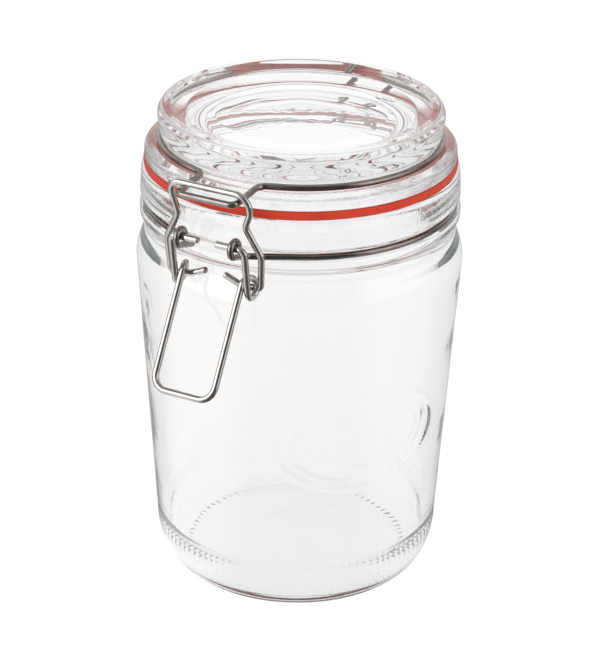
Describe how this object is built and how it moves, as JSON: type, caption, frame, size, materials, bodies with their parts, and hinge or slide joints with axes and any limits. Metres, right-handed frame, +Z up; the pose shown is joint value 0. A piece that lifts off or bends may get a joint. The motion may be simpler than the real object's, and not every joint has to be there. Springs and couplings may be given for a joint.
{
  "type": "clip-top jar",
  "caption": "Round clear glass storage jar with a recessed glass lid, a rubber gasket and a bent-wire bail closure with hinge, lever and clasp.",
  "frame": {"origin": "middle of the flat base that the jar stands on", "axes": "+Z up along the jar's axis, -Y towards the clasp and lever, +Y towards the lid's hinge, +X to the right seen from the clasp"},
  "size_m": [0.1103, 0.1403, 0.1678],
  "materials": {
    "jar_glass": "clear pressed glass",
    "lid_glass": "clear pressed glass",
    "gasket_rubber": "smooth moulded rubber",
    "ring_wire": "drawn wire, bright",
    "closure_wire": "drawn wire, bright"
  },
  "bodies": {
    "jar": {"jar_body": "jar_glass", "neck_ring": "ring_wire"},
    "lid": {"glass_lid": "lid_glass", "lid_ring": "ring_wire", "gasket": "gasket_rubber"},
    "lever": {"lever": "closure_wire"},
    "clasp": {"clasp": "closure_wire"}
  },
  "joints": [
    {"name": "lid_hinge", "type": "hinge", "parent": "jar", "child": "lid", "pos_m": [0, 0.0584, 0.1389], "axis": [-1, 0, 0], "range_deg": [0, 110]},
    {"name": "lever_hinge", "type": "hinge", "parent": "jar", "child": "lever", "pos_m": [0, -0.0612, 0.1404], "axis": [-1, 0, 0], "range_deg": [0, 100]},
    {"name": "clasp_hinge", "type": "hinge", "parent": "lever", "child": "clasp", "pos_m": [0, -0.0558, 0.1253], "axis": [1, 0, 0], "range_deg": [0, 120]}
  ],
  "couplings": [
    {"joint": "clasp_hinge", "follows": "lever_hinge", "ratio": 1.2}
  ]
}
